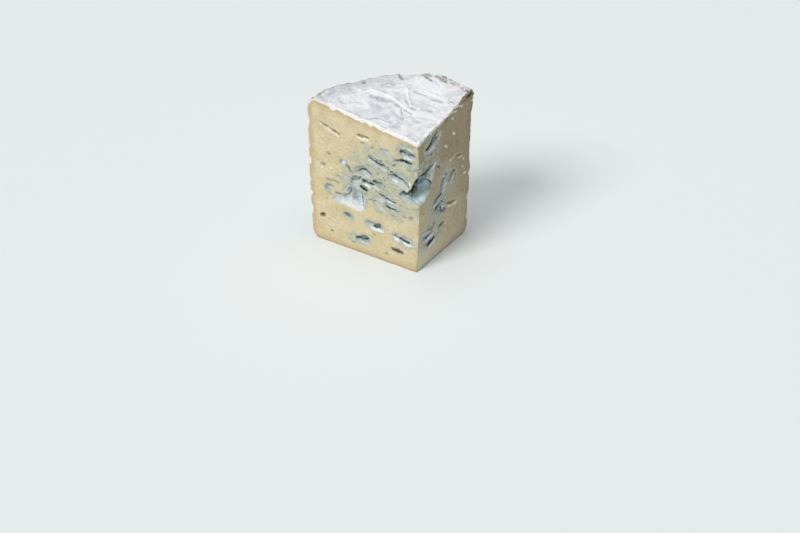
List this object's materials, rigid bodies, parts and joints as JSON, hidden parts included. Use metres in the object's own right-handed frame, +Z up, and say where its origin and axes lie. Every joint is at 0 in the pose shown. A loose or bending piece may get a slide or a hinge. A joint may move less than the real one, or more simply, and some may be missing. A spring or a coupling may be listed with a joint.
{
  "type": "cheese wedge",
  "caption": "Tall quarter wedge of soft blue-veined cheese with a white mould rind, standing on its base, with ragged holes and a cave at the tip.",
  "frame": {"origin": "middle of the footprint's box, on the surface that the wedge stands on", "axes": "+Z up along the wedge's height; -Y towards the tip where the two cut faces meet; +Y towards the rind wall; the longer cut face runs from the tip to -X"},
  "size_m": [0.1214, 0.0884, 0.1249],
  "materials": {
    "cheese": "soft, moist, slightly waxy paste, matte white mould rind"
  },
  "bodies": {
    "root": {"cheese_wedge": "cheese"}
  },
  "joints": []
}
